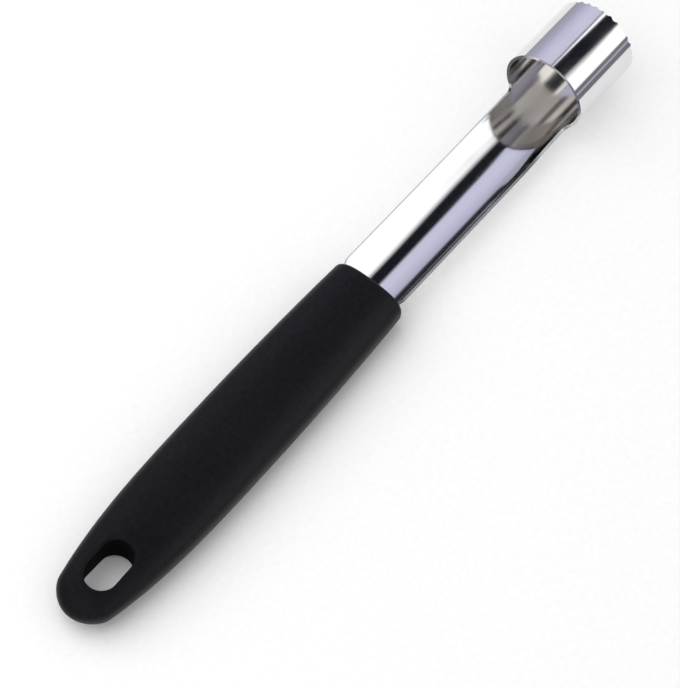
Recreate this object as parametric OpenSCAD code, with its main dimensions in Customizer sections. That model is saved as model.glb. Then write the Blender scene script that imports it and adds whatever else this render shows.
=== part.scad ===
// Apple corer: a rolled stainless blade with its tang moulded into a soft-touch handle.
// It lies on a table at z = 0, on the handle's belly and on the front edge of the coring tube.
// +X runs from the handle's butt to the teeth, +Z is up, and the origin is under the middle of the length.

/* [Coring tube] */
// Outside diameter of the coring tube
tube_d = 22; // [18:0.5:27]
// Length of the closed tube
tube_length = 22; // [14:1:34]
// Thickness of the stainless sheet
sheet = 0.8; // [0.5:0.1:1.2]
// Number of teeth round the front rim
tooth_count = 32; // [20:1:40]
// Depth of the scallops between the teeth
tooth_depth = 0.45; // [0.2:0.05:0.8]
// Width left between two scallops, at the tip of a tooth
tooth_land = 0.3; // [0.1:0.05:0.6]
// Width of the closed seam along the top of the tube
seam_width = 0.3; // [0.1:0.05:0.6]
// Depth of the seam's groove
seam_depth = 0.35; // [0.1:0.05:0.45]

/* [Trough] */
// Length of the trough between the handle's mouth and the tube
trough_length = 67.2; // [45:0.1:95]
// Half of the arc that the trough keeps, in degrees from its lowest line
trough_half_angle = 51.5; // [40:0.5:70]
// How much wider than the tube the open trough springs, at its radius
trough_spread = 0.2; // [0.16:0.01:0.4]
// Length over which the trough draws in to the tube
draw_in = 3; // [2:0.5:8]
// Fillet in the corners where the trough's edges run into the tube
trough_fillet = 1.5; // [0.5:0.1:3]

/* [Tang] */
// Width of the blade's neck, inside the mouth
neck_width = 11; // [10.6:0.1:12]
// Width of the tang
tang_width = 10; // [8:0.1:10.4]
// How far each face of the tang is coined below the sheet's
tang_coin = 0.1; // [0.08:0.01:0.15]
// Length of the tang inside the handle, from the mouth
tang_length = 58; // [35:1:75]
// Depth inside the mouth at which the neck ends and the tang lies level
neck_depth = 4; // [3:0.5:8]
// Reach of the rounded shoulders out of the mouth
shoulder_reach = 2.2; // [0:0.1:2.6]
// Radius of the shoulders where the trough narrows to the neck
shoulder_radius = 3; // [2.7:0.1:3.6]
// Radius on the corners at the tang's end
tang_corner = 2; // [0.5:0.1:3.5]
// Diameter of the two holes that lock the tang into the core
lock_hole_d = 4.5; // [2:0.1:5]
// Distance between the lock holes
lock_hole_spacing = 20; // [10:1:26]
// Distance from the tang's end to the middle of the last lock hole
lock_hole_inset = 9; // [6:0.5:14]

/* [Handle] */
// Length of the handle
handle_length = 109; // [100:0.1:130]
// Width of the handle at its widest
handle_width = 22; // [20:0.1:28]
// Width of the handle at its mouth
mouth_width = 19.5; // [18.5:0.1:26]
// Thickness of the handle
handle_thickness = 11; // [10.5:0.1:16]
// Distance from the butt to the widest place
widest_from_butt = 58.5; // [45:0.5:70]
// Width to which the handle tapers at the butt, before the butt is rounded
butt_width = 12.4; // [11.5:0.1:16]
// Length of the butt's rounded end
butt_round = 5.8; // [4.5:0.1:6.5]
// Rounding of the mouth's edge
mouth_round = 1.5; // [0.5:0.1:2.5]
// Squareness of the handle's section, where 2 is an ellipse
section_power = 2.6; // [2.2:0.1:3.5]

/* [Hang slot] */
// Length of the hang slot
slot_length = 13.2; // [10:0.1:20]
// Width of the hang slot
slot_width = 8.1; // [5:0.1:9]
// Distance from the butt to the slot
slot_from_butt = 7.2; // [6.8:0.1:10]

/* [Core] */
// Thickness of grip over the broad faces of the core
face_cover = 3.2; // [2.9:0.1:3.3]
// Thickness of grip between the core and the hang slot
slot_lining = 1.2; // [0.8:0.1:1.5]
// Thickness of the core beside the hang slot
core_rim = 1.7; // [1:0.1:2]
// Thickness of grip behind the core at the butt
butt_cover = 4; // [3.5:0.1:5]
// Thickness of grip in front of the core at the mouth
mouth_cover = 3; // [2:0.1:4]
// Room between moulded pieces and what they are moulded on
fit_gap = 0.05; // [0.02:0.01:0.1]

/* [Hidden] */
$fn = 96;
// How far cutting shapes run past what they cut
over = 1;
// How far a rounded corner's arc crosses the edges that it blends
nip = 0.03;
// How far the tang's root reaches into the neck
tang_lap = 1;
// Fullness of the taper from the widest place to the butt
taper_power = 3.2;
// Rings and points of the handle's surface
butt_rings = 8;
taper_rings = 10;
front_rings = 8;
round_rings = 4;
section_points = 48;

// Blade: the tang's sheet lies on the handle's middle plane, and the tube's front edge touches the table
tube_r = tube_d / 2;
trough_r = tube_r + trough_spread;
sheet_r = trough_r - sheet / 2;
blade_length = neck_depth + trough_length + tube_length;
trough_end = neck_depth + trough_length;
shoulder_x = neck_depth + shoulder_reach - shoulder_radius;
neck_half_angle = asin(neck_width / 2 / sheet_r);
tang_half_angle = asin(tang_width / 2 / sheet_r);
middle_z = handle_thickness / 2;
axis_z = middle_z + sheet_r;
pitch = asin(axis_z / norm([blade_length, tube_r])) - atan2(tube_r, blade_length);
tang_run = tang_length - neck_depth;

// Places along the table
front_reach = blade_length * cos(pitch) + tube_r * sin(pitch) - neck_depth;
butt_x = -(handle_length + front_reach) / 2;
mouth_x = butt_x + handle_length;
neck_x = mouth_x - neck_depth;
slot_x = butt_x + slot_from_butt + slot_length / 2;

// Core
core_half_width = slot_width / 2 + slot_lining + core_rim;
core_thickness = handle_thickness - 2 * face_cover;
core_x = butt_x + butt_cover;
core_length = handle_length - butt_cover - mouth_cover;

// Angle round the sheet that covers a given length of arc
function arc_angle(length) = length / sheet_r * 180 / PI;

// Signed power, for superellipses
function bend_power(value, power) = sign(value) * pow(abs(value), power);

// Handle: [distance from the butt, half width, half thickness] for every ring from butt to mouth
function front_half_width(along) =
    let (share = (along - widest_from_butt) / (handle_length - widest_from_butt))
    (handle_width - (handle_width - mouth_width) * share * share) / 2;
function taper_size(along) =
    1 - (1 - butt_width / handle_width) * pow(1 - along / widest_from_butt, taper_power);
function butt_ring(turn) =
    let (along = butt_round * (1 - cos(turn)))
    let (size = taper_size(along) * sin(turn))
    [along, size * handle_width / 2, size * middle_z];
function taper_ring(share) =
    let (along = butt_round + share * (widest_from_butt - butt_round))
    let (size = taper_size(along))
    [along, size * handle_width / 2, size * middle_z];
function front_ring(share) =
    let (along = widest_from_butt + share * (handle_length - mouth_round - widest_from_butt))
    [along, front_half_width(along), middle_z];
function round_ring(turn) =
    let (along = handle_length - mouth_round * (1 - sin(turn)), inset = mouth_round * (1 - cos(turn)))
    [along, front_half_width(along) - inset, middle_z - inset];
handle_rings = concat(
    [for (i = [1 : butt_rings]) butt_ring(90 * i / butt_rings)],
    [for (i = [1 : taper_rings]) taper_ring(i / taper_rings)],
    [for (i = [1 : front_rings]) front_ring(i / front_rings)],
    [for (i = [1 : round_rings]) round_ring(90 * i / round_rings)]
);
function ring_point(ring, turn) = [
    butt_x + ring[0],
    ring[1] * bend_power(cos(turn), 2 / section_power),
    middle_z + ring[2] * bend_power(sin(turn), 2 / section_power)
];

// The handle's outer surface, from the butt's tip through the rings to the flat of the mouth
module handle_shape() {
    ring_count = len(handle_rings);
    step = 360 / section_points;
    surface = [for (ring = handle_rings) for (i = [0 : section_points - 1]) ring_point(ring, i * step)];
    butt_tip = len(surface);
    mouth_middle = butt_tip + 1;
    points = concat(surface, [[butt_x, 0, middle_z], [mouth_x, 0, middle_z]]);
    first = [for (i = [0 : section_points - 1]) i];
    next = [for (i = first) (i + 1) % section_points];
    last = (ring_count - 1) * section_points;
    faces = concat(
        [for (i = first) [butt_tip, i, next[i]]],
        [for (k = [0 : ring_count - 2]) for (i = first)
            [k * section_points + i, (k + 1) * section_points + i, k * section_points + next[i]]],
        [for (k = [0 : ring_count - 2]) for (i = first)
            [k * section_points + next[i], (k + 1) * section_points + i, (k + 1) * section_points + next[i]]],
        [for (i = first) [mouth_middle, last + next[i], last + i]]
    );
    polyhedron(points, faces, convexity = 4);
}

// Puts what is drawn along the blade's axis, from the neck's end, into its place
module in_blade_frame() {
    translate([neck_x, 0, axis_z]) rotate([0, pitch, 0]) children();
}

// Part of a ring round the blade's axis, between two distances along it and two angles from its lowest line
module arc_block(start, end, angle_from, angle_to, inner, outer) {
    rotate([0, 90, 0]) rotate([0, 0, angle_from]) rotate_extrude(angle = angle_to - angle_from)
        translate([inner, start]) square([outer - inner, end - start]);
}

// The sheet rolled right round, grown by gap: the trough's radius draws in to the tube's
module sheet_ring(gap) {
    drawn = trough_end - trough_fillet / 2;
    rolled = [[trough_r, -gap], [trough_r, drawn - draw_in], [tube_r, drawn], [tube_r, blade_length]];
    outside = [for (point = rolled) point + [gap, 0]];
    inside = [for (i = [3 : -1 : 0]) rolled[i] - [sheet + gap, 0]];
    rotate([0, 90, 0]) rotate_extrude() polygon(concat(outside, inside));
}

// A cutter through the sheet that stands out on both its faces
module sheet_cut(start, end, angle_from, angle_to, stand) {
    arc_block(start, end, angle_from, angle_to, tube_r - sheet - stand, trough_r + stand);
}

// A pin through the sheet, square to it, that stands out further than the other cutters
module sheet_pin(along, angle, radius) {
    stand = 3 * over;
    translate([along, 0, 0]) rotate([angle, 0, 0]) translate([0, 0, -trough_r - stand])
        cylinder(r = radius, h = trough_spread + sheet + 2 * stand);
}

// Draws the same on both sides of the blade
module both_sides() {
    children();
    mirror([0, 1, 0]) children();
}

// Piece between a square corner of the sheet and the arc that rounds it
module corner_piece(along, edge, radius) {
    difference() {
        sheet_cut(along - over, along + radius, edge - arc_angle(radius), edge + over, 2 * over);
        sheet_pin(along + radius - nip, edge - arc_angle(radius - nip), radius);
    }
}

// Opening over the trough, with rounded corners where its edges run into the tube
module trough_opening(start, edge) {
    corner_x = trough_end - trough_fillet;
    corner_edge = edge + arc_angle(trough_fillet);
    sheet_cut(start, corner_x, edge, 360 - edge, over);
    sheet_cut(corner_x - over, trough_end, corner_edge, 360 - corner_edge, 2 * over);
    both_sides() sheet_pin(corner_x + nip, corner_edge - arc_angle(nip), trough_fillet);
}

// The rolled sheet from neck to tube, grown by gap for the room that it takes in the handle
module rolled_sheet(gap) {
    edge = trough_half_angle + arc_angle(gap);
    neck_edge = neck_half_angle + arc_angle(gap);
    start = shoulder_x - gap;
    difference() {
        sheet_ring(gap);
        sheet_cut(-over, start, neck_edge, 360 - neck_edge, 1.5 * over);
        trough_opening(start - over, edge);
        both_sides() corner_piece(start, edge, shoulder_radius);
    }
}

// The level tang behind the neck, with its lock holes
module tang(gap) {
    edge = tang_half_angle + arc_angle(gap);
    inset = tang_coin - gap;
    translate([neck_x, 0, axis_z]) difference() {
        arc_block(-tang_run - gap, tang_lap, -edge, edge, trough_r - sheet + inset, trough_r - inset);
        for (i = [0, 1])
            translate([-tang_run + lock_hole_inset + i * lock_hole_spacing, 0, -trough_r - over])
                cylinder(d = lock_hole_d - 2 * gap, h = trough_r);
        both_sides() corner_piece(-tang_run - gap, edge, tang_corner);
    }
}

// Scallops between the teeth of the front rim
module scallops() {
    chord = PI * tube_d / tooth_count - tooth_land;
    radius = (chord * chord / 4 + tooth_depth * tooth_depth) / (2 * tooth_depth);
    for (i = [0 : tooth_count - 1])
        sheet_pin(blade_length - tooth_depth + radius, (i + 0.5) * 360 / tooth_count, radius);
}

// Groove of the butt seam, along the top of the tube
module seam() {
    translate([trough_end - over, -seam_width / 2, tube_r - seam_depth])
        cube([tube_length + 2 * over, seam_width, seam_depth + over]);
}

// Outline with round ends, along X about its middle
module round_ended(length, width) {
    square([length - width, width], center = true);
    for (end = [-1, 1]) translate([end * (length - width) / 2, 0]) circle(d = width);
}

// The hang slot's column, grown by a wall round it
module slot_column(wall) {
    translate([slot_x, 0, -over]) linear_extrude(handle_thickness + 2 * over)
        round_ended(slot_length + 2 * wall, slot_width + 2 * wall);
}

// The core's bar, round at the butt end, grown by gap on every side
module core_bar(gap) {
    half = core_half_width + gap;
    thickness = core_thickness + 2 * gap;
    translate([core_x - gap, 0, middle_z - thickness / 2]) linear_extrude(thickness) {
        translate([half, 0]) circle(r = half);
        translate([half, -half]) square([core_length + 2 * gap - half, 2 * half]);
    }
}

// Rolled stainless sheet: coring tube, trough, shoulders and tang
module corer_blade() {
    color([0.8, 0.81, 0.84]) {
        in_blade_frame() difference() {
            rolled_sheet(0);
            scallops();
            seam();
        }
        tang(0);
    }
}

// Rigid bar moulded round the tang
module handle_core() {
    color([0.22, 0.22, 0.24]) difference() {
        core_bar(0);
        slot_column(slot_lining);
        in_blade_frame() rolled_sheet(fit_gap);
        tang(fit_gap);
    }
}

// Soft-touch skin moulded over the core
module handle_grip() {
    color([0.1, 0.1, 0.11]) difference() {
        handle_shape();
        slot_column(0);
        difference() {
            core_bar(fit_gap);
            slot_column(slot_lining - fit_gap);
        }
        in_blade_frame() rolled_sheet(fit_gap);
        tang(fit_gap);
    }
}

corer_blade();
handle_core();
handle_grip();
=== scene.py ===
"""An apple corer on a pale floor: a rolled steel blade, a soft-touch grip and the handle's hidden core."""
import math

import bmesh
import bpy
from mathutils import Matrix, Vector


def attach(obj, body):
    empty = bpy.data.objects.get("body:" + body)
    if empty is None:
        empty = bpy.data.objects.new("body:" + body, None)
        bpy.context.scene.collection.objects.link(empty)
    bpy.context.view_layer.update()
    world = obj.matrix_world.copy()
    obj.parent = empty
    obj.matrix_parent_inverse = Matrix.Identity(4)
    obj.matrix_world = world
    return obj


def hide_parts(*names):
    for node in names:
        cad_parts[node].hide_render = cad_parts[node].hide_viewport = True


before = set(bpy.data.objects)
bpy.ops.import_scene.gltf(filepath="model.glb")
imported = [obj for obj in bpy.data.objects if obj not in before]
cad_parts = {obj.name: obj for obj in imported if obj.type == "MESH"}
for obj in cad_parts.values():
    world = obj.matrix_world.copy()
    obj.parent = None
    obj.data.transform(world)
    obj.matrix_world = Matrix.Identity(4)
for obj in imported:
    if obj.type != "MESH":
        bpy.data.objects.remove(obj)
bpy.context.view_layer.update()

MM = 0.001

# Sizes of the corer in mm, the same as in the part's source
TUBE_R = 11.0
TUBE_LENGTH = 22.0
SHEET = 0.8
TOOTH_COUNT = 32
TOOTH_DEPTH = 0.45
TOOTH_LAND = 0.3
SEAM_DEPTH = 0.35
TROUGH_LENGTH = 67.2
TROUGH_HALF_ANGLE = 51.5
TROUGH_SPREAD = 0.2
TROUGH_R = TUBE_R + TROUGH_SPREAD
TROUGH_FILLET = 1.5
NECK_WIDTH = 11.0
NECK_DEPTH = 4.0
SHOULDER_REACH = 2.2
SHOULDER_RADIUS = 3.0
TANG_WIDTH = 10.0
TANG_LENGTH = 58.0
TANG_COIN = 0.1
TANG_CORNER = 2.0
HANDLE_LENGTH = 109.0
HANDLE_WIDTH = 22.0
HANDLE_THICKNESS = 11.0
MOUTH_WIDTH = 19.5
WIDEST_FROM_BUTT = 58.5
MOUTH_ROUND = 1.5
SECTION_POWER = 2.6
BUTT_WIDTH = 12.4
BUTT_ROUND = 5.8
TAPER_POWER = 3.2
SLOT_LENGTH = 13.2
SLOT_WIDTH = 8.1
SLOT_FROM_BUTT = 7.2

# Details that only the looks need, in mm and degrees
SLOT_LIP = 0.6
EDGE_BREAK = 0.13
MOUTH_GAP = 0.06
WELD = 0.002
EASE_LENGTH = 30.0
OPENED_Y = 8.5
OPENED_RISE = 3.3
WALL_TURN = 39.0
WALL_FADE_START = 50.0
WALL_FADE_END = 70.0
TANG_FRONT = -1.0

# The steel's tones and roughness, and how far before and behind the tube's rim its inside turns dull, in mm
POLISHED_TONE = (0.76, 0.76, 0.77)
POLISHED_ROUGHNESS = 0.08
DULL_TONE = (0.57, 0.55, 0.53)
DULL_ROUGHNESS = 0.13
CUT_TONE = (0.50, 0.50, 0.51)
CUT_ROUGHNESS = 0.20
DULL_START = 14.0
DULL_END = 6.0

# The tube's rear rim is painted darker towards its left ear, a painted dark reflection, between two distances
# left of the middle in mm
EAR_START = 4.0
EAR_END = 8.0
EAR_PAINTED_REFLECTION_TONE = (0.11, 0.11, 0.12)
EAR_ROUGHNESS = 0.25

# The rubber's shade, roughness and gloss, on the grip's skin and on the slot's wall, whose copy is painted
# darker as painted shade in the slot
SKIN_RUBBER = ((0.0054, 0.0057, 0.0075), 0.42, 0.17)
SLOT_RUBBER_PAINTED_SHADE = ((0.0030, 0.0031, 0.0040), 0.8, 0.05)

# The strips of light that reflections see: colours by the angle in degrees from straight up to the left, and
# levels by how far the direction points ahead along the corer
STRIP_WHITE = (1.35, 1.35, 1.35)
STRIP_EDGE = (0.9, 0.9, 0.9)
STRIP_GREY = (0.25, 0.25, 0.25)
STRIP_DARK = (0.03, 0.03, 0.03)
STRIPS = [(-110, STRIP_EDGE), (-100, STRIP_GREY), (-79, STRIP_GREY), (-71, STRIP_WHITE), (14, STRIP_WHITE),
          (19, (0.68, 0.69, 0.86)), (40, (0.72, 0.72, 0.90)), (60, (0.62, 0.62, 0.80)),
          (74, (0.51, 0.51, 0.67)), (81, STRIP_DARK), (98, STRIP_DARK), (106, STRIP_EDGE)]
STRIP_LEVELS = [(-1, 0.40), (0.05, 0.45), (0.25, 1), (0.66, 1), (0.71, 0.5), (1, 0.40)]
PLAIN_LIGHT = 0.70

# The lamp in metres and watts, and the camera's place, view, upward direction in the image, and lens in mm
KEY_PLACE = (-0.25, 0.55, 0.92)
KEY_SIZE = 1.5
KEY_ENERGY = 8.6
CAMERA_PLACE = (-0.30942545, -0.17377212, 0.65013104)
CAMERA_FORWARD = (0.41353674, 0.23246501, -0.88031103)
CAMERA_UP = (0.66920374, 0.57811548, 0.46684992)
CAMERA_LENS = 164.69

# Where the pieces lie: the grip is level, and the blade dips until its front edge rests on the floor
MIDDLE_Z = HANDLE_THICKNESS / 2
MID_SHEET_R = TROUGH_R - SHEET / 2
AXIS_Z = MIDDLE_Z + MID_SHEET_R
TROUGH_END = NECK_DEPTH + TROUGH_LENGTH
BLADE_LENGTH = TROUGH_END + TUBE_LENGTH
PITCH = math.asin(AXIS_Z / math.hypot(BLADE_LENGTH, TUBE_R)) - math.atan2(TUBE_R, BLADE_LENGTH)
TOTAL_LENGTH = (HANDLE_LENGTH - NECK_DEPTH + BLADE_LENGTH * math.cos(PITCH) + TUBE_R * math.sin(PITCH))
BUTT_X = -TOTAL_LENGTH / 2
NECK_X = BUTT_X + HANDLE_LENGTH - NECK_DEPTH
RIM_X = NECK_X + TROUGH_END
SHOULDER_START = NECK_DEPTH + SHOULDER_REACH - SHOULDER_RADIUS
BLADE_FRAME = Matrix.Translation((NECK_X, 0, AXIS_Z)) @ Matrix.Rotation(PITCH, 4, "Y")
TANG_FRAME = Matrix.Translation((NECK_X, 0, AXIS_Z))

# The opened trough: a wide bend with straight walls, through edges that lie wider and lower than the tube's
WALL_SIN = math.sin(math.radians(WALL_TURN))
WALL_COS = math.cos(math.radians(WALL_TURN))
BEND_R = (OPENED_Y * WALL_SIN - OPENED_RISE * WALL_COS) / (1 - WALL_COS)
WALL_LENGTH = (OPENED_RISE * WALL_SIN - OPENED_Y * (1 - WALL_COS)) / (1 - WALL_COS)
BEND_ARC = BEND_R * math.radians(WALL_TURN)

# Columns of the blade's grid: twelve to a tooth round the tube, and the middle third of them down the trough
COLUMNS_PER_TOOTH = 12
TUBE_COLUMNS = TOOTH_COUNT * COLUMNS_PER_TOOTH
TROUGH_COLUMNS = TUBE_COLUMNS // 6
FLARE_ANGLE = 360 * TROUGH_COLUMNS / TUBE_COLUMNS

# Rows of the blade's grid, and two places just before the shoulders that keep the neck straight
TANG_CORNER_ROWS = 6
TANG_ROWS = 30
SHOULDER_ROWS = 12
TROUGH_ROWS = 80
FILLET_ROWS = 10
TUBE_ROWS = 40
SHOULDER_LEADS = (0.5, 0.02)

# Columns and rows of the grip's grid, which fans out from the slot at the butt and goes on in rings
FRONT_COLUMNS = 96
BUTT_COLUMNS = 56
LIP_STEPS = 6
FACE_STEPS = 18
WALL_STEPS = 8
FACE_CLUSTER = 2.4
JOIN_ALONG = SLOT_FROM_BUTT + SLOT_LENGTH + 4
OUTLINE_SAMPLES = 2000
RING_ROWS = 52
MOUTH_ROWS = 8

# Places of the materials on the blade and on the grip
OUTSIDE, CUT_EDGE, INSIDE, REAR_RIM = range(4)
SKIN, SLOT_WALL = range(2)

# The part of a noise's range that most of it lies in
NOISE_LOW = 0.3
NOISE_HIGH = 0.7


def new_object(name, bm, materials):
    """An object of the bmesh, which is in mm, as a smooth mesh in metres."""
    bmesh.ops.recalc_face_normals(bm, faces=bm.faces)
    mesh = bpy.data.meshes.new(name)
    bm.to_mesh(mesh)
    bm.free()
    mesh.transform(Matrix.Scale(MM, 4))
    mesh.shade_smooth()
    for material in materials:
        mesh.materials.append(material)
    obj = bpy.data.objects.new(name, mesh)
    bpy.context.scene.collection.objects.link(obj)
    return obj


def steps(low, high, count):
    """Evenly spaced numbers from low to high, both included."""
    return [low + (high - low) * i / count for i in range(count + 1)]


def arc_angle(length):
    """The angle in degrees that a length takes up along the rolled sheet."""
    return math.degrees(length / MID_SHEET_R)


def chord_angle(width):
    """The half angle in degrees of a rolled strip of this width."""
    return math.degrees(math.asin(width / 2 / MID_SHEET_R))


def quarter(distance, radius):
    """How far a quarter round of this radius falls back at a distance from where it starts."""
    reach = max(0.0, min(radius, distance))
    return radius - math.sqrt(radius ** 2 - (radius - reach) ** 2)


def smooth_step(value, low, high):
    """A smooth rise from 0 at low to 1 at high."""
    share = max(0.0, min(1.0, (value - low) / (high - low)))
    return share * share * (3 - 2 * share)


def lowest_line(along):
    """The distance from the blade's axis down to mid-sheet: the trough's, eased to the tube's."""
    return MID_SHEET_R + (TUBE_R - TROUGH_R) * smooth_step(along, TROUGH_END - EASE_LENGTH, TROUGH_END)


def opened_share(along):
    """How far the sheet is opened: wholly in the trough, and not at all at the tang and in the tube."""
    return smooth_step(along, TANG_FRONT, SHOULDER_START) - smooth_step(along, WALL_FADE_START, WALL_FADE_END)


def blade_half_angle(along):
    """Half the angle of the sheet round the blade's axis, from the neck to the tube."""
    if along < SHOULDER_START:
        return chord_angle(NECK_WIDTH)
    shoulder = arc_angle(quarter(along - SHOULDER_START, SHOULDER_RADIUS))
    flare = (FLARE_ANGLE - TROUGH_HALF_ANGLE) * quarter_rise(along)
    return TROUGH_HALF_ANGLE - shoulder + flare


def quarter_rise(along):
    """The round in the corner between the trough's edge and the tube's rim, from 0 to 1."""
    reach = max(0.0, along - TROUGH_END + TROUGH_FILLET)
    return 1 - math.sqrt(max(0.0, 1 - (reach / TROUGH_FILLET) ** 2))


def tang_half_angle(along):
    """Half the angle of the tang, with its two end corners rounded."""
    from_end = along + TANG_LENGTH - NECK_DEPTH
    return chord_angle(TANG_WIDTH) - arc_angle(quarter(from_end, TANG_CORNER))


def tooth_dip(angle):
    """How far the front rim falls back from the teeth's points at an angle round the tube."""
    pitch = 2 * math.pi * TUBE_R / TOOTH_COUNT
    share = angle * TOOTH_COUNT / 360 % 1 - 0.5
    half_scallop = (pitch - TOOTH_LAND) / 2
    return TOOTH_DEPTH * max(0.0, 1 - (share * pitch / half_scallop) ** 2)


def opened_point(angle, depth):
    """A point of the opened section, across and up from its lowest line, at a depth out from mid-sheet."""
    arc = (BEND_ARC + WALL_LENGTH) * abs(angle) / TROUGH_HALF_ANGLE
    turn = min(arc, BEND_ARC) / BEND_R
    rest = max(0.0, arc - BEND_ARC)
    across = (BEND_R + depth) * math.sin(turn) + rest * math.cos(turn)
    up = BEND_R - (BEND_R + depth) * math.cos(turn) + rest * math.sin(turn)
    return Vector((math.copysign(across, angle), up))


def sheet_point(place, along, angle, depth, level=False):
    """A point of the rolled sheet, at an angle from its lowest line and a depth out from mid-sheet."""
    low = MID_SHEET_R if level else lowest_line(along)
    turn = math.radians(angle)
    point = Vector(((low + depth) * math.sin(turn), low - (low + depth) * math.cos(turn)))
    if not level:
        point = point.lerp(opened_point(angle, depth), opened_share(along))
    return place @ Vector((along, point.x, point.y - low))


def open_row(bm, place, along, half_angle, half_sheet, level=False):
    """One row of the open sheet's vertices, outside and inside."""
    angles = steps(-half_angle, half_angle, 2 * TROUGH_COLUMNS)
    return [[bm.verts.new(sheet_point(place, along, angle, depth, level)) for angle in angles]
            for depth in (half_sheet, -half_sheet)]


def tube_row(bm, share):
    """One closed row of the tube's vertices, outside and inside, from its rear rim (0) to its teeth (1)."""
    layers = []
    for depth in (SHEET / 2, -SHEET / 2):
        row = []
        for column in range(TUBE_COLUMNS):
            angle = 360 * (column - TROUGH_COLUMNS) / TUBE_COLUMNS
            tip = BLADE_LENGTH - tooth_dip(angle)
            along = TROUGH_END + (tip - TROUGH_END) * share
            groove = SEAM_DEPTH if abs(angle) == 180 and depth > 0 else 0
            row.append(bm.verts.new(sheet_point(BLADE_FRAME, along, angle, depth - groove)))
        layers.append(row)
    return layers


def bridge(bm, first, second, closed=False, material=OUTSIDE):
    """A strip of quads between two rows of vertices."""
    count = len(first) if closed else len(first) - 1
    for i in range(count):
        j = (i + 1) % len(first)
        face = bm.faces.new((first[i], first[j], second[j], second[i]))
        face.material_index = material


def rim(bm, outer, inner, closed=False, material=CUT_EDGE):
    """The cut edge of the sheet between its two sides, marked to be broken by the bevel."""
    weight = bm.edges.layers.float["bevel_weight_edge"]
    bridge(bm, outer, inner, closed, material)
    for row in (outer, inner):
        count = len(row) if closed else len(row) - 1
        for i in range(count):
            bm.edges.get((row[i], row[(i + 1) % len(row)]))[weight] = 1


def open_sheet(bm, rows):
    """The two sides and the two side edges of rows of open sheet."""
    for (outer_a, inner_a), (outer_b, inner_b) in zip(rows, rows[1:]):
        bridge(bm, outer_a, outer_b)
        bridge(bm, inner_a, inner_b, material=INSIDE)
    for side in (0, -1):
        rim(bm, [outer[side] for outer, inner in rows], [inner[side] for outer, inner in rows])


def neck_places():
    """Distances along the blade from the neck's end to where the straight trough starts."""
    turns = steps(0, math.pi / 2, SHOULDER_ROWS)
    shoulder = [SHOULDER_START + SHOULDER_RADIUS * (1 - math.cos(turn)) for turn in turns]
    return [0] + [SHOULDER_START - lead for lead in SHOULDER_LEADS] + shoulder


def make_blade(materials):
    """The rolled sheet: tang, neck, shoulders, open trough and closed tube with its teeth and seam."""
    bm = bmesh.new()
    bm.edges.layers.float.new("bevel_weight_edge")
    tang_end = NECK_DEPTH - TANG_LENGTH
    tang = [tang_end + TANG_CORNER * (1 - math.cos(turn)) for turn in steps(0, math.pi / 2, TANG_CORNER_ROWS)]
    tang += steps(tang_end + TANG_CORNER, TANG_FRONT, TANG_ROWS)[1:]
    rows = []
    for along in tang:
        half_angle = tang_half_angle(along)
        rows.append(open_row(bm, TANG_FRAME, along, half_angle, SHEET / 2 - TANG_COIN, level=True))
    fillet_start = TROUGH_END - TROUGH_FILLET
    trough = neck_places() + steps(SHOULDER_START + SHOULDER_RADIUS, fillet_start, TROUGH_ROWS)[1:]
    turns = steps(0, math.pi / 2, FILLET_ROWS)[1:-1]
    trough += [fillet_start + TROUGH_FILLET * math.sin(turn) for turn in turns]
    for along in trough:
        rows.append(open_row(bm, BLADE_FRAME, along, blade_half_angle(along), SHEET / 2))
    tube = [tube_row(bm, share) for share in steps(0, 1, TUBE_ROWS)]
    last_open = 2 * TROUGH_COLUMNS + 1
    rows.append([layer[:last_open] for layer in tube[0]])
    open_sheet(bm, rows)
    rim(bm, *rows[0])
    for (outer_a, inner_a), (outer_b, inner_b) in zip(tube, tube[1:]):
        bridge(bm, outer_a, outer_b, closed=True)
        bridge(bm, inner_a, inner_b, closed=True, material=INSIDE)
    rear = [layer[last_open - 1:] + layer[:1] for layer in tube[0]]
    rim(bm, *rear, material=REAR_RIM)
    rim(bm, *tube[-1], closed=True)
    blade = new_object("blade", bm, materials)
    bevel = blade.modifiers.new("broken_edges", "BEVEL")
    bevel.limit_method = "WEIGHT"
    bevel.width = EDGE_BREAK * MM
    bevel.segments = 2
    bevel.harden_normals = True
    return blade


def grip_half_sizes(along):
    """Half the width and half the thickness of the grip at a distance from its butt."""
    if along < WIDEST_FROM_BUTT:
        taper = (1 - BUTT_WIDTH / HANDLE_WIDTH) * (1 - along / WIDEST_FROM_BUTT) ** TAPER_POWER
        size = (1 - taper) * math.sqrt(1 - max(0.0, 1 - along / BUTT_ROUND) ** 2)
        return HANDLE_WIDTH / 2 * size, HANDLE_THICKNESS / 2 * size
    share = (along - WIDEST_FROM_BUTT) / (HANDLE_LENGTH - WIDEST_FROM_BUTT)
    half_width = (HANDLE_WIDTH - (HANDLE_WIDTH - MOUTH_WIDTH) * share ** 2) / 2
    inset = quarter(HANDLE_LENGTH - along, MOUTH_ROUND)
    return half_width - inset, HANDLE_THICKNESS / 2 - inset


def grip_height(along, across):
    """Half the thickness of the grip at a point of its plan."""
    half_width, half_thickness = grip_half_sizes(along)
    if half_width <= abs(across):
        return 0.0
    return half_thickness * (1 - (abs(across) / half_width) ** SECTION_POWER) ** (1 / SECTION_POWER)


def section_point(along, turn):
    """A point of the grip's section at an angle round it, from the left side over the top."""
    half_width, half_thickness = grip_half_sizes(along)
    power = 2 / SECTION_POWER
    across = math.copysign(abs(math.cos(turn)) ** power, math.cos(turn)) * half_width
    up = math.copysign(abs(math.sin(turn)) ** power, math.sin(turn)) * half_thickness
    return along, across, up


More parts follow.
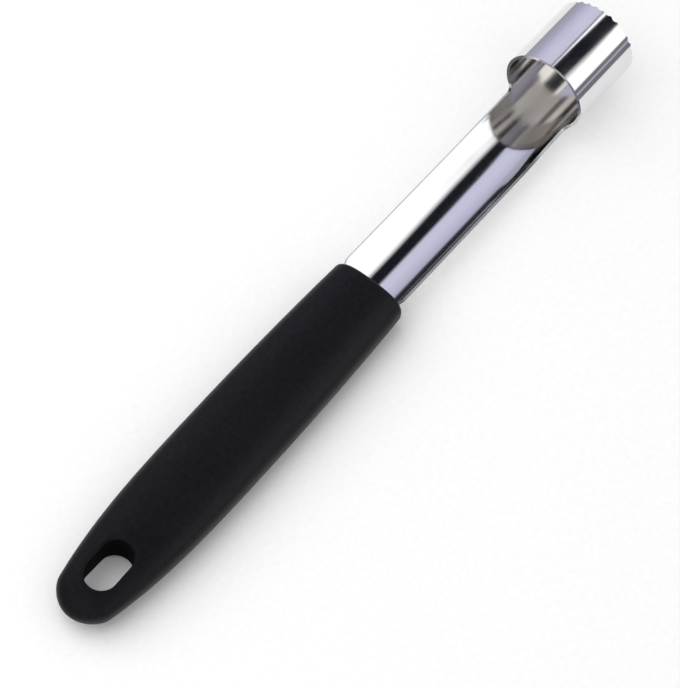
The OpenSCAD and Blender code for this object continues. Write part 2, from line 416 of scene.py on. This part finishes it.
def spread(points, count):
    """Points at even distances along a line of points."""
    lengths = [0.0]
    for a, b in zip(points, points[1:]):
        lengths.append(lengths[-1] + math.dist(a, b))
    result = []
    i = 0
    for goal in steps(0, lengths[-1], count):
        while i < len(points) - 2 and lengths[i + 1] < goal:
            i += 1
        share = (goal - lengths[i]) / (lengths[i + 1] - lengths[i])
        result.append(tuple(a + (b - a) * share for a, b in zip(points[i], points[i + 1])))
    return result


def grip_vert(bm, along, across, up):
    """A vertex of the grip from its distance from the butt, and across and up from the grip's middle."""
    return bm.verts.new((BUTT_X + along, across, MIDDLE_Z + up))


def slot_edge(point):
    """The point of the hang slot's wall that faces a point of the grip's plan."""
    half_run = (SLOT_LENGTH - SLOT_WIDTH) / 2
    centre = SLOT_FROM_BUTT + SLOT_LENGTH / 2
    spine = max(centre - half_run, min(centre + half_run, point[0]))
    away = Vector((point[0] - spine, point[1])).normalized()
    return Vector((spine, 0)) + away * SLOT_WIDTH / 2


def plan_outline():
    """The grip's outline in plan round the slot: the butt's left and right sides and the line in front."""
    places = [JOIN_ALONG * share ** 2 for share in steps(0, 1, OUTLINE_SAMPLES)]
    side = [(along, grip_half_sizes(along)[0]) for along in places]
    left = spread(side[::-1], BUTT_COLUMNS)
    right = [(along, -across) for along, across in left[::-1]]
    front = [section_point(JOIN_ALONG, turn)[:2] for turn in steps(math.pi, 0, FRONT_COLUMNS)]
    return left[:-1] + right[:-1] + front[:-1]


def face_chain(bm, edge, outline, sign, rim_vert):
    """Vertices from the slot's wall over its lip and across one face of the grip to the outline."""
    way = Vector(outline) - edge
    length = way.length
    way.normalize()
    chain = []
    for turn in steps(0, math.pi / 2, LIP_STEPS):
        place = edge + way * SLOT_LIP * (1 - math.cos(turn))
        drop = SLOT_LIP * (1 - math.sin(turn))
        chain.append(grip_vert(bm, place.x, place.y, sign * (grip_height(place.x, place.y) - drop)))
    for share in steps(0, 1, FACE_STEPS)[1:-1]:
        place = edge + way * (length - (length - SLOT_LIP) * (1 - share) ** FACE_CLUSTER)
        chain.append(grip_vert(bm, place.x, place.y, sign * grip_height(place.x, place.y)))
    return chain + [rim_vert]


def wall_chain(bm, top, bottom):
    """Vertices down the slot's wall between the two lips."""
    inner = [bm.verts.new(top.co.lerp(bottom.co, share)) for share in steps(0, 1, WALL_STEPS)[1:-1]]
    return [top] + inner + [bottom]


def make_grip(materials):
    """The soft-touch grip: a rounded bar with the hang slot at its butt, and a flat mouth."""
    bm = bmesh.new()
    outline = plan_outline()
    butt_count = 2 * BUTT_COLUMNS
    tops, bottoms, walls = [], [], []
    for i, point in enumerate(outline):
        edge = slot_edge(point)
        rises = i > butt_count
        height = grip_height(*point) if rises else 0
        upper = grip_vert(bm, point[0], point[1], height)
        lower = grip_vert(bm, point[0], point[1], -height) if rises else upper
        tops.append(face_chain(bm, edge, point, 1, upper))
        bottoms.append(face_chain(bm, edge, point, -1, lower))
        walls.append(wall_chain(bm, tops[-1][0], bottoms[-1][0]))
    for chains, material in ((tops, SKIN), (bottoms, SKIN), (walls, SLOT_WALL)):
        for a, b in zip(chains, chains[1:] + chains[:1]):
            bridge(bm, a, b, material=material)
    front = list(range(butt_count, len(outline))) + [0]
    ring = [tops[i][-1] for i in front] + [bottoms[i][-1] for i in front[-2:0:-1]]
    turns = steps(math.pi, 0, FRONT_COLUMNS) + steps(0, -math.pi, FRONT_COLUMNS)[1:-1]
    places = steps(JOIN_ALONG, HANDLE_LENGTH - MOUTH_ROUND, RING_ROWS)[1:]
    for turn in steps(0, math.pi / 2, MOUTH_ROWS)[1:]:
        places.append(HANDLE_LENGTH - MOUTH_ROUND * (1 - math.sin(turn)))
    for along in places:
        following = [grip_vert(bm, *section_point(along, turn)) for turn in turns]
        bridge(bm, ring, following, closed=True)
        ring = following
    bm.faces.new(ring)
    grip = new_object("grip", bm, materials)
    cut_mouth(grip)
    return grip


def cut_mouth(grip):
    """Cuts the narrow opening in the grip's mouth that the blade comes out of."""
    bm = bmesh.new()
    bm.edges.layers.float.new("bevel_weight_edge")
    rows = []
    for along in neck_places() + [2 * NECK_DEPTH]:
        half_angle = blade_half_angle(along) + arc_angle(MOUTH_GAP)
        rows.append(open_row(bm, BLADE_FRAME, along - MOUTH_GAP, half_angle, SHEET / 2 + MOUTH_GAP))
    open_sheet(bm, rows)
    rim(bm, *rows[0])
    rim(bm, *rows[-1])
    cutter = new_object("mouth_cutter", bm, [])
    cut = grip.modifiers.new("mouth", "BOOLEAN")
    cut.object = cutter
    cut.solver = "EXACT"
    graph = bpy.context.evaluated_depsgraph_get()
    mesh = bpy.data.meshes.new_from_object(grip.evaluated_get(graph))
    grip.modifiers.clear()
    grip.data = mesh
    bm = bmesh.new()
    bm.from_mesh(mesh)
    bmesh.ops.remove_doubles(bm, verts=bm.verts, dist=WELD * MM)
    bmesh.ops.dissolve_degenerate(bm, edges=bm.edges, dist=WELD * MM)
    bm.to_mesh(mesh)
    bm.free()
    bpy.data.objects.remove(cutter)


def node_material(name):
    """A material with a plain principled shader, and with it its node tree and that shader."""
    material = bpy.data.materials.new(name)
    material.use_nodes = True
    tree = material.node_tree
    return material, tree, tree.nodes["Principled BSDF"]


def add_noise(tree, scale, detail=4.0, stretch=(1, 1, 1)):
    """A noise texture in the object's own coordinates, stretched by scaling them."""
    place = tree.nodes.new("ShaderNodeTexCoord")
    mapping = tree.nodes.new("ShaderNodeMapping")
    mapping.inputs["Scale"].default_value = stretch
    noise = tree.nodes.new("ShaderNodeTexNoise")
    noise.inputs["Scale"].default_value = scale
    noise.inputs["Detail"].default_value = detail
    tree.links.new(place.outputs["Object"], mapping.inputs["Vector"])
    tree.links.new(mapping.outputs["Vector"], noise.inputs["Vector"])
    return noise.outputs["Fac"]


def add_ramp(tree, factor, stops):
    """A colour ramp over a factor, from pairs of place and colour."""
    ramp = tree.nodes.new("ShaderNodeValToRGB")
    elements = ramp.color_ramp.elements
    while len(elements) < len(stops):
        elements.new(1.0)
    for element, (place, colour) in zip(elements, stops):
        element.position = place
        element.color = (*colour, 1)
    tree.links.new(factor, ramp.inputs["Fac"])
    return ramp.outputs["Color"]


def grey(value):
    """A grey as a colour."""
    return (value, value, value)


def add_noise_ramp(tree, noise, dark, light):
    """A colour that follows a noise from dark to light."""
    return add_ramp(tree, noise, [(NOISE_LOW, dark), (NOISE_HIGH, light)])


def add_range(tree, value, low, high, least=0.0, most=1.0):
    """A value between low and high, mapped to one between least and most."""
    mapped = tree.nodes.new("ShaderNodeMapRange")
    mapped.inputs["From Min"].default_value = low
    mapped.inputs["From Max"].default_value = high
    mapped.inputs["To Min"].default_value = least
    mapped.inputs["To Max"].default_value = most
    tree.links.new(value, mapped.inputs["Value"])
    return mapped.outputs["Result"]


def add_noise_range(tree, noise, least, most):
    """A value that follows a noise from least to most."""
    return add_range(tree, noise, NOISE_LOW, NOISE_HIGH, least, most)


def add_parts(tree, kind):
    """The X, Y and Z of a kind of texture coordinates."""
    place = tree.nodes.new("ShaderNodeTexCoord")
    parts = tree.nodes.new("ShaderNodeSeparateXYZ")
    tree.links.new(place.outputs[kind], parts.inputs["Vector"])
    return parts.outputs


def add_bump(tree, height, strength, distance_mm, below=None):
    """A bump from a height, on top of another bump if one is given."""
    bump = tree.nodes.new("ShaderNodeBump")
    bump.inputs["Strength"].default_value = strength
    bump.inputs["Distance"].default_value = distance_mm * MM
    tree.links.new(height, bump.inputs["Height"])
    if below is not None:
        tree.links.new(below, bump.inputs["Normal"])
    return bump.outputs["Normal"]


def soft_touch_material(name, shade, roughness, gloss):
    """Black soft-touch rubber: a fine mottle about a shade of black, a low gloss and an uneven skin."""
    material, tree, shader = node_material(name)
    mottle = add_noise(tree, 900, 6)
    grain = add_noise(tree, 4200, 3)
    patches = add_noise(tree, 60, 3)
    dark, light = [[part * side for part in shade] for side in (0.7, 1.3)]
    tree.links.new(add_noise_ramp(tree, mottle, dark, light), shader.inputs["Base Color"])
    uneven = add_noise_range(tree, patches, roughness * 0.9, roughness * 1.1)
    tree.links.new(uneven, shader.inputs["Roughness"])
    low = add_bump(tree, mottle, 0.25, 0.05)
    tree.links.new(add_bump(tree, grain, 0.25, 0.02, low), shader.inputs["Normal"])
    shader.inputs["Specular IOR Level"].default_value = gloss
    return material


def new_steel(name):
    """A bare metal with fine lines along the roll, and with it its node tree and its shader."""
    material, tree, shader = node_material(name)
    lines = add_noise(tree, 2500, 3, (0.02, 1, 1))
    tree.links.new(add_bump(tree, lines, 0.06, 0.01), shader.inputs["Normal"])
    shader.inputs["Metallic"].default_value = 1.0
    return material, tree, shader


def steel_material(name, tone, roughness):
    """Stainless steel of a tone and roughness, with faint cloudy patches."""
    material, tree, shader = new_steel(name)
    cloud = add_noise(tree, 90, 4)
    dark, light = [[part * side for part in tone] for side in (0.97, 1.03)]
    tree.links.new(add_noise_ramp(tree, cloud, dark, light), shader.inputs["Base Color"])
    uneven = add_noise_range(tree, cloud, roughness * 0.8, roughness * 1.2)
    tree.links.new(uneven, shader.inputs["Roughness"])
    return material


def graded_steel_material(name, axis, start, end, last):
    """Stainless steel that turns from polished to a last tone and roughness between two places on an axis."""
    material, tree, shader = new_steel(name)
    share = add_range(tree, add_parts(tree, "Object")[axis], start * MM, end * MM)
    colour = add_ramp(tree, share, [(0, POLISHED_TONE), (1, last[0])])
    rough = add_ramp(tree, share, [(0, grey(POLISHED_ROUGHNESS)), (1, grey(last[1]))])
    tree.links.new(colour, shader.inputs["Base Color"])
    tree.links.new(rough, shader.inputs["Roughness"])
    return material


def core_material():
    """Plain dark moulded plastic."""
    material, tree, shader = node_material("core_plastic")
    grain = add_noise(tree, 1500, 4)
    tree.links.new(add_noise_ramp(tree, grain, grey(0.11), grey(0.13)), shader.inputs["Base Color"])
    tree.links.new(add_noise_range(tree, grain, 0.5, 0.62), shader.inputs["Roughness"])
    tree.links.new(add_bump(tree, grain, 0.2, 0.03), shader.inputs["Normal"])
    return material


def paper_material():
    """White paper with a faint tooth."""
    material, tree, shader = node_material("paper")
    tooth = add_noise(tree, 700, 5)
    tree.links.new(add_noise_ramp(tree, tooth, grey(0.90), grey(0.93)), shader.inputs["Base Color"])
    tree.links.new(add_bump(tree, tooth, 0.1, 0.1), shader.inputs["Normal"])
    shader.inputs["Roughness"].default_value = 0.9
    shader.inputs["Specular IOR Level"].default_value = 0.1
    return material


def stage_sheet(name, verts, faces, material):
    """A flat sheet in metres that belongs to the stage."""
    mesh = bpy.data.meshes.new(name)
    mesh.from_pydata(verts, [], faces)
    mesh.materials.append(material)
    obj = bpy.data.objects.new(name, mesh)
    bpy.context.scene.collection.objects.link(obj)
    return obj


def make_floor():
    """The pale floor, large enough to fill every view."""
    reach = 3.0
    corners = [(-reach, -reach, 0), (reach, -reach, 0), (reach, reach, 0), (-reach, reach, 0)]
    stage_sheet("floor", corners, [(0, 1, 2, 3)], paper_material())


def card_material():
    """A plain glow in the colours that a card carries, clear where their opacity is 0."""
    material = bpy.data.materials.new("card")
    material.use_nodes = True
    tree = material.node_tree
    tree.nodes.remove(tree.nodes["Principled BSDF"])
    tone = tree.nodes.new("ShaderNodeAttribute")
    tone.attribute_name = "tone"
    glow = tree.nodes.new("ShaderNodeEmission")
    clear = tree.nodes.new("ShaderNodeBsdfTransparent")
    mix = tree.nodes.new("ShaderNodeMixShader")
    tree.links.new(tone.outputs["Color"], glow.inputs["Color"])
    tree.links.new(tone.outputs["Alpha"], mix.inputs["Fac"])
    tree.links.new(clear.outputs["BSDF"], mix.inputs[1])
    tree.links.new(glow.outputs["Emission"], mix.inputs[2])
    tree.links.new(mix.outputs["Shader"], tree.nodes["Material Output"].inputs["Surface"])
    return material


def make_card(name, rails, material):
    """A card that only reflections see, between rails of points that each have a colour and an opacity."""
    length = len(rails[0][0])
    verts = [point for points, tone in rails for point in points]
    faces = []
    for row in range(len(rails) - 1):
        for i in range(row * length, row * length + length - 1):
            faces.append((i, i + 1, i + 1 + length, i + length))
    card = stage_sheet(name, verts, faces, material)
    tones = card.data.attributes.new("tone", "FLOAT_COLOR", "POINT")
    for i, value in enumerate(tones.data):
        value.color = rails[i // length][1]
    card.visible_camera = False
    card.visible_diffuse = False
    card.visible_shadow = False


def make_flag(material):
    """A dark bent flag high above the blade, soft at its right edge and harder at its left over the tube."""
    height = 0.4
    stations = (-0.15, 0.09, 0.125, 0.273, 0.335, 0.357, 0.46)
    clear_right = (-0.40, -0.35, -0.075, -0.075, -0.125, -0.235, -0.345)
    dark_right = (-0.28, -0.22, 0.005, 0.003, -0.047, -0.135, -0.245)
    dark_left = (0.13, 0.13, 0.13, 0.150, 0.130, 0.090, -0.040)
    clear_left = (0.21, 0.21, 0.21, 0.214, 0.194, 0.102, -0.028)
    rails = []
    for sides, opacity in ((clear_right, 0), (dark_right, 1), (dark_left, 1), (clear_left, 0)):
        points = [(x, y, height) for x, y in zip(stations, sides)]
        rails.append((points, (0.010, 0.010, 0.016, opacity)))
    make_card("flag", rails, material)


def make_side_cards(material):
    """A low lavender card on the left of the tube and a striped one on its right, both on the floor."""
    dark = (0.20, 0.195, 0.23, 1)
    light = (0.50, 0.48, 0.55, 1)
    left = [(0, (0.37, 0.38, 0.41, 1)), (0.045, (0.50, 0.50, 0.62, 1))]
    right = [(0, dark), (0.017, dark), (0.020, light), (0.024, light), (0.027, dark), (0.0385, dark)]
    for name, y, stops in (("card_left", 0.092, left), ("card_right", -0.078, right)):
        make_card(name, [([(0.115, y, z), (0.2, y, z)], tone) for z, tone in stops], material)


def make_world():
    """A soft studio round the corer: plain light for its surfaces, and strips of light in its reflections."""
    world = bpy.data.worlds.new("studio")
    bpy.context.scene.world = world
    world.use_nodes = True
    tree = world.node_tree
    parts = add_parts(tree, "Generated")
    turn = tree.nodes.new("ShaderNodeMath")
    turn.operation = "ARCTAN2"
    tree.links.new(parts["Y"], turn.inputs[0])
    tree.links.new(parts["Z"], turn.inputs[1])
    round_share = add_range(tree, turn.outputs["Value"], -math.pi, math.pi)
    colour = add_ramp(tree, round_share, [(0.5 + angle / 360, tone) for angle, tone in STRIPS])
    ahead_share = add_range(tree, parts["X"], -1, 1)
    level = add_ramp(tree, ahead_share, [((1 + ahead) / 2, grey(value)) for ahead, value in STRIP_LEVELS])
    strip_colour = tree.nodes.new("ShaderNodeVectorMath")
    strip_colour.operation = "MULTIPLY"
    tree.links.new(colour, strip_colour.inputs[0])
    tree.links.new(level, strip_colour.inputs[1])
    strips = tree.nodes["Background"]
    tree.links.new(strip_colour.outputs["Vector"], strips.inputs["Color"])
    plain = tree.nodes.new("ShaderNodeBackground")
    plain.inputs["Color"].default_value = (1, 1, 1, 1)
    plain.inputs["Strength"].default_value = PLAIN_LIGHT
    path = tree.nodes.new("ShaderNodeLightPath")
    mix = tree.nodes.new("ShaderNodeMixShader")
    tree.links.new(path.outputs["Is Glossy Ray"], mix.inputs["Fac"])
    tree.links.new(plain.outputs["Background"], mix.inputs[1])
    tree.links.new(strips.outputs["Background"], mix.inputs[2])
    tree.links.new(mix.outputs["Shader"], tree.nodes["World Output"].inputs["Surface"])


def make_key_light():
    """A wide soft lamp on the corer's left, which throws the shadow to its right."""
    light = bpy.data.lights.new("key", "AREA")
    light.shape = "DISK"
    light.size = KEY_SIZE
    light.energy = KEY_ENERGY
    lamp = bpy.data.objects.new("key", light)
    lamp.location = KEY_PLACE
    lamp.rotation_euler = (-lamp.location).to_track_quat("-Z", "Y").to_euler()
    lamp.visible_glossy = False
    bpy.context.scene.collection.objects.link(lamp)
    return lamp


def make_camera():
    """The camera at the photograph's angle."""
    forward = Vector(CAMERA_FORWARD).normalized()
    right = forward.cross(Vector(CAMERA_UP)).normalized()
    up = right.cross(forward)
    camera = bpy.data.cameras.new("camera")
    camera.sensor_width = 36
    camera.lens = CAMERA_LENS
    camera.clip_start = 0.01
    holder = bpy.data.objects.new("camera", camera)
    turn = Matrix((right, up, -forward)).transposed()
    holder.matrix_world = Matrix.Translation(CAMERA_PLACE) @ turn.to_4x4()
    bpy.context.scene.collection.objects.link(holder)
    bpy.context.scene.camera = holder


make_camera()
make_world()
key = make_key_light()
make_floor()
cards = card_material()
make_flag(cards)
make_side_cards(cards)

steels = [steel_material("polished_steel", POLISHED_TONE, POLISHED_ROUGHNESS),
          steel_material("cut_steel", CUT_TONE, CUT_ROUGHNESS),
          graded_steel_material("inside_steel", "X", RIM_X - DULL_START, RIM_X + DULL_END,
                                (DULL_TONE, DULL_ROUGHNESS)),
          # The rear rim's steel carries a painted dark reflection that darkens it towards the left ear
          graded_steel_material("rim_steel_painted_reflection", "Y", EAR_START, EAR_END, (EAR_PAINTED_REFLECTION_TONE, EAR_ROUGHNESS))]
blade = make_blade(steels)
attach(blade, "root")
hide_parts("corer_blade")

# The slot's wall takes a darker copy of the rubber: painted shade inside the hang slot
rubbers = [soft_touch_material("soft_touch", *SKIN_RUBBER),
           soft_touch_material("slot_wall_painted_shade", *SLOT_RUBBER_PAINTED_SHADE)]
grip = make_grip(rubbers)
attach(grip, "root")
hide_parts("handle_grip")
blockers = bpy.data.collections.new("key_blockers")
blockers.objects.link(grip)
key.light_linking.blocker_collection = blockers

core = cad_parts["handle_core"]
core.data.materials.clear()
core.data.materials.append(core_material())

bpy.context.scene.view_settings.view_transform = "Standard"
